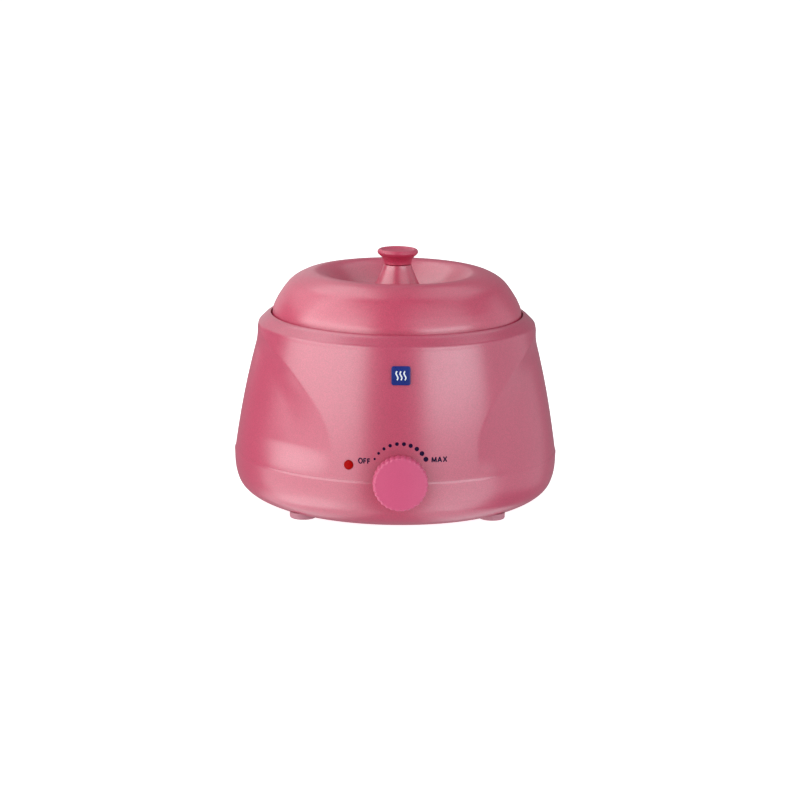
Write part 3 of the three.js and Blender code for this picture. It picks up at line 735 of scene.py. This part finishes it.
# ------------------------------------------------------------------ dial, scale, lamp and badge
def build_dial():
    """The fluted knob with its slightly domed face, and a bore for the shaft."""
    crown = (12.5, DIAL_FACE - 1.1)
    side = rounded([(0, DIAL_BORE_END), (SHAFT_R, DIAL_BORE_END), (SHAFT_R, DIAL_BACK),
                    (DIAL_R, DIAL_BACK, 0.5), (DIAL_R, DIAL_FACE - 1.5, 1.7), crown], steps=10)
    face = flowing([crown, (9, DIAL_FACE - 0.54), (5, DIAL_FACE - 0.17), (0, DIAL_FACE)], 4)[1:]
    verts, faces = turn([Vector(p) for p in (*side, *face)], turns=DIAL_FLUTES * 14)
    fluted = []
    for x, y, z in verts:
        r = math.hypot(x, y)
        lobe = abs(math.sin(DIAL_FLUTES / 2 * math.atan2(x, -y)))
        k = 1 - FLUTE_DEPTH * (1 - lobe) * smoothstep(r, DIAL_R - 2.4, DIAL_R - 0.6) / max(r, 1)
        fluted.append((x * k, y * k, z))
    dial = thing("dial_knob", fluted, faces, outward(DIAL_Z))
    piece(dial, "dial", "dial_pink", DIAL_PINK, "control_knob")


def printed(name, outlines):
    """Flat ink shapes, given as outlines of (x, z) seen from the front, laid on the front panel."""
    films = [prism([on_panel(x, z, 0) for x, z in outline],
                   [on_panel(x, z, INK_THICKNESS) for x, z in outline]) for outline in outlines]
    piece(thing(name, *together(films)), "housing", "badge_blue", NAVY_INK)


def build_scale():
    """Dots in an arc over the dial, growing towards the hot end."""
    rounds = []
    for k in range(SCALE_DOTS):
        along_scale = k / (SCALE_DOTS - 1)
        a = SCALE_REACH * (2 * along_scale - 1)
        size = 0.7 + 0.75 * along_scale ** 0.8
        x, z = SCALE_R * math.sin(a), SCALE_Z + SCALE_R * math.cos(a)
        rounds.append([(x + u, z + v) for u, v in disc(size, 24)])
    printed("scale_dots", rounds)


def bar(start, end, half):
    """A straight stroke of the printed letters, as an outline."""
    (x0, z0), (x1, z1) = start, end
    k = half / math.hypot(x1 - x0, z1 - z0)
    dx, dz = (z1 - z0) * k, (x0 - x1) * k
    return [(x0 + dx, z0 + dz), (x1 + dx, z1 + dz), (x1 - dx, z1 - dz), (x0 - dx, z0 - dz)]


def build_legend(word, x, z, width):
    """One generic word beside the scale, in plain strokes, each letter as (width, lines)."""
    strokes = {
        "F": (0.62, [((0, 0), (0, 1)), ((0, 0.93), (1, 0.93)), ((0, 0.5), (0.9, 0.5))]),
        "M": (1.0, [((0, 0), (0.06, 1)), ((0.06, 1), (0.5, 0.1)), ((0.5, 0.1), (0.94, 1)),
                    ((0.94, 1), (1, 0))]),
        "A": (0.9, [((0, 0), (0.5, 1)), ((0.5, 1), (1, 0)), ((0.2, 0.32), (0.8, 0.32))]),
        "X": (0.85, [((0, 0), (1, 1)), ((0, 1), (1, 0))]),
        "O": (1.0, [((0.5 + 0.5 * math.cos(a), 0.5 + 0.48 * math.sin(a)),
                     (0.5 + 0.5 * math.cos(a + 0.32), 0.5 + 0.48 * math.sin(a + 0.32)))
                    for a in [2 * math.pi * k / 24 for k in range(24)]]),
    }
    total = sum(strokes[letter][0] for letter in word) + LETTER_SPACE * (len(word) - 1)
    k = width / total
    left = x - width / 2
    outlines = []
    for letter in word:
        wide, lines = strokes[letter]
        for (u0, v0), (u1, v1) in lines:
            outlines.append(bar((left + u0 * wide * k, z + (v0 - 0.5) * LETTER_HEIGHT),
                                (left + u1 * wide * k, z + (v1 - 0.5) * LETTER_HEIGHT), STROKE_HALF))
        left += (wide + LETTER_SPACE) * k
    printed(f"legend_{word.lower()}", outlines)


def build_lamp():
    """The red lens: a hollow cap with a collar inside the wall and a domed end."""
    rim = 97.3
    bulge = 0.6
    steps = 8
    outline = rounded([(0, 95.5), (1.9, 95.5), (1.9, 88.9), (2.5, 88.9), (2.5, 92), (3.6, 92, 0.2),
                       (3.6, 93.1, 0.2), (LAMP_R, 93.1), (LAMP_R, rim)])
    arc = [math.pi / 2 * k / steps for k in range(1, steps)]
    dome = [*[(LAMP_R * math.cos(a), rim + bulge * math.sin(a)) for a in arc], (0, rim + bulge)]
    lens = thing("lamp_lens", *turn([Vector(p) for p in (*outline, *dome)], turns=64),
                 outward(LAMP_Z, LAMP_ANGLE))
    piece(lens, "housing", "lens_red", LENS_RED, "indicator_lens")


def squircle(half, corner):
    """A square with round corners."""
    steps = 8
    points = []
    for quarter in range(4):
        a0 = math.pi / 2 * quarter
        cx = (half - corner) * (1 if quarter in (0, 3) else -1)
        cy = (half - corner) * (1 if quarter in (0, 1) else -1)
        points += [(cx + corner * math.cos(a0 + math.pi / 2 * k / steps),
                    cy + corner * math.sin(a0 + math.pi / 2 * k / steps)) for k in range(steps + 1)]
    return points


def build_badge():
    """A plain plate with three heat waves, flat against the panel."""
    slope = math.atan2(panel_radius(BADGE_Z - 4) - panel_radius(BADGE_Z + 4), 8)
    place = (Matrix.Translation((0, -panel_radius(BADGE_Z) - GAP, BADGE_Z))
             @ Matrix.Rotation(math.pi / 2 - slope, 4, "X"))
    half = BADGE_SIZE / 2
    layers = [(half, -0.25), (half, 0.3), (half - 0.12, 0.52), (half - 0.4, BADGE_FACE)]
    verts, faces = [], []
    for reach, height in layers:
        verts += [(x, y, height) for x, y in squircle(reach, reach * 0.24)]
    n = len(verts) // len(layers)
    for start in range(0, n * (len(layers) - 1), n):
        faces += [[start + k, start + (k + 1) % n, start + n + (k + 1) % n, start + n + k] for k in range(n)]
    faces += [list(range(n)), [len(verts) - n + k for k in range(n)]]
    plate = thing("badge_plate", verts, faces, place)
    piece(plate, "housing", "badge_blue", BADGE_BLUE, "badge")
    pitch, sway, length, steps = 2.3, 0.55, 5.2, 16
    section = [(0.38 * u, 0.12 * v) for u, v in disc(1, 12)]
    lines = []
    for k in (-1, 0, 1):
        path = [Vector((pitch * k + sway * math.sin(2 * math.pi * t / steps), length * (t / steps - 0.5),
                        BADGE_FACE)) for t in range(steps + 1)]
        lines.append(along(path, section))
    waves = thing("badge_waves", *together(lines), place)
    piece(waves, "housing", "badge_blue", BADGE_WHITE)


# ------------------------------------------------------------------ pot, bail and well
def build_pot():
    """The spun pot with its rolled rim, and an ear with a rivet at each side."""
    under = POT_FLOOR_Z - SHEET
    low = POT_RIM_Z - SHEET
    outline = rounded([(0, under), (10, under), (50.6, under, 4.5), (POT_R + 1, 52, 8), (POT_R + 1, low, 0.6),
                       (POT_FLANGE_R, low, 0.55), (POT_FLANGE_R, POT_RIM_Z, 0.6), (POT_R, POT_RIM_Z, 1.0),
                       (POT_R, 52, 8), (49.8, POT_FLOOR_Z, 4.5), (10, POT_FLOOR_Z), (0, POT_FLOOR_Z)],
                      steps=8)
    pot = thing("pot_shell", *turn(outline, turns=224))
    piece(pot, "pot", "pot_aluminium", POT_METAL, "inner_pot")
    for side, name in ((-1, "left"), (1, "right")):
        build_ear(side, name)


def build_ear(side, name):
    """A bent tab on the pot's rim, with a hole for the bail, and the rivet that holds it."""
    seat = POT_RIM_Z + GAP
    half_width = 4
    height = 5.6
    bent = rounded([(EAR_ROOT_R, seat), (POT_FLANGE_R, seat), (POT_FLANGE_R, seat + height),
                    (POT_FLANGE_R - 1, seat + height), (POT_FLANGE_R - 1, seat + 1, 0.4),
                    (EAR_ROOT_R, seat + 1)], closed=True)
    ear = thing(f"ear_{name}", *prism([(side * r, -half_width, z) for r, z in bent],
                                      [(side * r, half_width, z) for r, z in bent]))
    across = Matrix.Translation((0, 0, BAIL_Z)) @ Matrix.Rotation(math.pi / 2, 4, "Y")
    cut(ear, rod(WIRE_R + 0.35, -65, 65, across))
    changed(ear, ("BEVEL", {"width": 0.25 * MM, "segments": 2, "limit_method": "ANGLE"}))
    piece(ear, "pot", "steel", STEEL, f"pot_ear_{name}")
    low = POT_RIM_Z - 0.9
    dome = rounded([(0, low), (1, low), (1, seat + 1.3), (1.7, seat + 1.3, 0.1), (1.5, 114.9, 0.5),
                    (0, 115.1)])
    rivet = thing(f"rivet_{name}", *turn(dome, turns=40), Matrix.Translation((side * RIVET_X, 0, 0)))
    piece(rivet, "pot", "steel", BRIGHT_STEEL, f"ear_rivet_{name}")


def build_bail():
    """The wire handle: a half ring whose ends turn in through the ears."""
    bend = 2.4
    tip = 56.6
    ends = [Vector((tip, 0, 0)), Vector((BAIL_R - bend, 0, 0))]
    ends += [Vector((BAIL_R - bend + bend * math.sin(a), bend - bend * math.cos(a), 0))
             for a in [math.pi / 2 * k / 6 for k in range(1, 6)]]
    start = math.asin(bend / BAIL_R)
    bow = [Vector((BAIL_R * math.cos(a), BAIL_R * math.sin(a), 0))
           for a in [start + (math.pi - 2 * start) * k / 96 for k in range(97)]]
    path = ends + bow + [Vector((-p.x, p.y, 0)) for p in reversed(ends)]
    wire = thing("bail_wire", *along(path, disc(WIRE_R, 20)), Matrix.Translation((0, 0, BAIL_Z)))
    piece(wire, "bail", "steel", BRIGHT_STEEL, "pot_bail")


def build_well():
    """The heated well that the pot drops into, with its flange on the housing's deck."""
    under = WELL_FLOOR_Z - SHEET
    flange = DECK_Z + GAP
    flange_top = flange + SHEET
    outline = rounded([(0, under), (51.5, under, 3), (WELL_R + 1, 45.4, 3), (WELL_R + 1, flange, 0.3),
                       (FLANGE_R, flange, 0.4), (FLANGE_R, flange_top, 0.4), (WELL_R, flange_top, 1.2),
                       (WELL_R, 46, 3), (51, WELL_FLOOR_Z, 3), (0, WELL_FLOOR_Z)])
    well = thing("well_shell", *turn(outline, turns=224))
    piece(well, "housing", "pot_aluminium", WELL_METAL, "heating_well")


def slotted_screw(name, body, node, head_r, head_h, shank_r, length, place):
    """A pan-head screw with a slot, seated at z = 0 before it is placed."""
    outline = rounded([(0, -length), (shank_r - 0.3, -length), (shank_r, -length + 0.4), (shank_r, 0),
                       (head_r, 0, 0.15), (head_r, head_h * 0.55, 0.5), (head_r * 0.72, head_h, 0.8),
                       (0, head_h)])
    made = thing(name, *turn(outline, turns=48), place)
    half_length, half_width = head_r + 1, 0.4
    slot = [(u * half_length, v * half_width) for u, v in ((-1, -1), (1, -1), (1, 1), (-1, 1))]
    verts, faces = prism([(x, y, head_h * 0.5) for x, y in slot], [(x, y, head_h + 1) for x, y in slot])
    cut(made, thing("cutter", verts, faces, place))
    piece(made, body, "steel", BRIGHT_STEEL, node)


def build_screws():
    """The screws that hold the well's flange, each at its own turn, and the knob's screw."""
    seat = DECK_Z + 2 * GAP + SHEET
    for k in range(CLAMP_SCREWS):
        a = 2 * math.pi * k / CLAMP_SCREWS
        at = Matrix.Translation((CLAMP_R * math.sin(a), -CLAMP_R * math.cos(a), seat))
        slotted_screw(f"clamp_screw_{k + 1}", "housing", f"well_screw_{k + 1}", head_r=3, head_h=1.8,
                      shank_r=1.5, length=8.4, place=at @ Matrix.Rotation(0.7 * k, 4, "Z"))
    upside_down = Matrix.Translation((0, 0, 140.9)) @ Matrix.Rotation(math.pi, 4, "X")
    slotted_screw("knob_screw", "lid", "lid_knob_screw", head_r=4, head_h=2, shank_r=1.5, length=9,
                  place=upside_down)


# ------------------------------------------------------------------ gland
def build_gland():
    """The cord's gland at the rear: a flanged sleeve that ends in two ribs."""
    end = GLAND_END - 0.05
    ribs = []
    for k in range(2):
        y = 104.0 + 1.7 * k
        crest, root = 6.5 - 0.12 * k, 5.8 - 0.12 * k
        ribs += [(crest, y), (crest, y + 0.9), (root, y + 1.2), (root, y + 1.5)]
    outline = rounded([(GLAND_BORE_R, 86.5), (5.9, 86.5), (5.9, 98.9), (8.2, 98.9, 0.3), (8.2, 101.9, 0.8),
                       (6.6, 103.4), *ribs, (5.3, end, 0.3), (GLAND_BORE_R, end, 0.3)], closed=True)
    gland = thing("gland_body", *turn(outline, turns=64, closed=True), outward(GLAND_Z, math.pi))
    piece(gland, "housing", "nylon_black", NYLON, "cord_gland")


# ------------------------------------------------------------------ parts that stay as the frame has them
def finish_inner_parts():
    """Materials and soft edges on the CAD nodes that no other piece stands for."""
    looks = {
        "steel": STEEL, "mica": MICA, "white_ceramic": CERAMIC, "nylon_black": NYLON,
        "lead_black": LEAD_BLACK, "lead_white": LEAD_WHITE, "lamp_glass": LAMP_GLASS,
    }
    slots = {row["node"]: row["material_slot"] for row in frame["record"]["subparts"]}
    for name, obj in frame["nodes"].items():
        look = looks.get(slots.get(name))
        if look is None or obj.hide_render:
            continue
        obj.data.materials.clear()
        obj.data.materials.append(look)
        bevel = obj.modifiers.new("soft_edges", "BEVEL")
        bevel.width = 0.12 * MM
        bevel.segments = 2
        bevel.limit_method = "ANGLE"
        bevel.angle_limit = math.radians(50)


# ------------------------------------------------------------------ studio
def soft_light(name, place, target, width, height, radiance, colour):
    """A rectangular soft light at a place, facing a target."""
    lamp = bpy.data.lights.new(name, "AREA")
    lamp.shape = "RECTANGLE"
    lamp.size = width
    lamp.size_y = height
    lamp.energy = radiance * math.pi * width * height
    lamp.color = colour
    obj = bpy.data.objects.new(name, lamp)
    obj.location = place
    obj.rotation_euler = (Vector(target) - Vector(place)).to_track_quat("-Z", "Y").to_euler()
    bpy.context.scene.collection.objects.link(obj)


def softbox(name, azimuth, near, width, low, high, radiance, colour):
    """An upright soft light at a turn from the front, from one height to another."""
    a = math.radians(azimuth)
    middle = (low + high) / 2
    soft_light(name, (near * math.sin(a), -near * math.cos(a), middle), (0, 0, middle),
               width, high - low, radiance, colour)


def build_studio():
    """A plain pale floor, stacked soft lights at both sides, and a dim even sky."""
    reach, below = 9000, -0.2
    corners = [(-reach, -reach, below), (reach, -reach, below), (reach, reach, below), (-reach, reach, below)]
    floor = thing("studio_floor", corners, [[0, 1, 2, 3]])
    floor.data.materials.append(backdrop_paper("studio_paper"))
    floor.visible_diffuse = False
    floor.visible_glossy = False
    floor.visible_shadow = False
    left, right = (0.93, 0.97, 0.96), (0.88, 0.97, 1.0)
    softbox("left_main", -62, 1.3, 1.96, 0.12, 0.45, 2.4, left)
    softbox("left_bright", -62, 1.3, 1.96, 0.45, 0.8, 2.75, left)
    softbox("left_upper", -66, 1.3, 1.9, 0.8, 1.8, 1.5, left)
    softbox("left_top", -66, 1.3, 1.9, 1.8, 2.6, 0.5, left)
    softbox("left_middle", -55, 1.3, 1.6, -0.2, 0.12, 0.8, left)
    softbox("left_low", -68, 1.3, 2.2, -1.6, -0.2, 1.5, left)
    softbox("left_side", -115, 1.4, 1.2, 0.6, 1.6, 0.8, left)
    softbox("left_rear", -158, 1.5, 1.1, 0.0, 1.5, 0.4, left)
    softbox("right_main", 43.5, 1.3, 1.2, 0.18, 0.62, 2.75, right)
    softbox("right_upper", 45, 1.3, 1.69, 0.62, 1.7, 0.85, right)
    softbox("right_top", 45, 1.3, 1.69, 1.7, 2.6, 0.35, right)
    softbox("right_middle", 43.5, 1.3, 1.2, -0.12, 0.18, 0.2, right)
    softbox("right_low", 48, 1.3, 1.25, -1.6, -0.12, 1.5, right)
    softbox("right_side", 102, 1.4, 1.3, -0.6, 0.9, 0.45, right)
    soft_light("left_overhead", (-0.95, 0.9, 2.0), (-0.95, 0.91, 0), 1.3, 2.0, 1.6, left)
    soft_light("right_overhead", (1.0, 0.9, 2.0), (1.0, 0.91, 0), 1.3, 2.0, 0.7, right)
    soft_light("left_under", (-1.4, 0.2, -1.6), (-1.4, 0.21, 0), 2.1, 3.0, 0.95, left)
    soft_light("right_under", (0.75, 0.2, -1.6), (0.75, 0.21, 0), 0.9, 3.0, 0.85, right)
    world = bpy.data.worlds.new("studio")
    world.use_nodes = True
    sky = world.node_tree.nodes["Background"]
    sky.inputs["Color"].default_value = (0.93, 0.95, 1.0, 1)
    sky.inputs["Strength"].default_value = 0.28
    bpy.context.scene.world = world
    bpy.context.scene.view_settings.view_transform = "Standard"


def build_camera():
    """A long lens a little above the object and a little left of its front."""
    turn_left = Matrix.Rotation(math.radians(-1.8), 3, "Z")
    stand = Vector((0, -1.8036, 0.4441))
    pitch, roll, yaw = math.radians(12.02), math.radians(0.75), math.radians(0.08)
    ahead = Vector((math.sin(yaw) * math.cos(pitch), math.cos(yaw) * math.cos(pitch), -math.sin(pitch)))
    right = Vector((math.cos(yaw), -math.sin(yaw), 0))
    up = right.cross(ahead)
    tilted_right = right * math.cos(roll) + up * math.sin(roll)
    tilted_up = up * math.cos(roll) - right * math.sin(roll)
    axes = Matrix((turn_left @ tilted_right, turn_left @ tilted_up, -(turn_left @ ahead))).transposed()
    data = bpy.data.cameras.new("camera")
    data.lens = 135
    data.sensor_width = 36
    data.clip_end = 20
    camera = bpy.data.objects.new("camera", data)
    camera.matrix_world = Matrix.Translation(turn_left @ stand) @ axes.to_4x4()
    bpy.context.scene.collection.objects.link(camera)
    bpy.context.scene.camera = camera


build_housing()
build_base()
build_feet()
build_lid()
build_lid_knob()
build_dial()
build_scale()
build_legend("OFF", -21.0, 43.6, 6.6)
build_legend("MAX", 23.0, 44.6, 8.7)
build_lamp()
build_badge()
build_pot()
build_bail()
build_well()
build_screws()
build_gland()
finish_inner_parts()
build_studio()
build_camera()
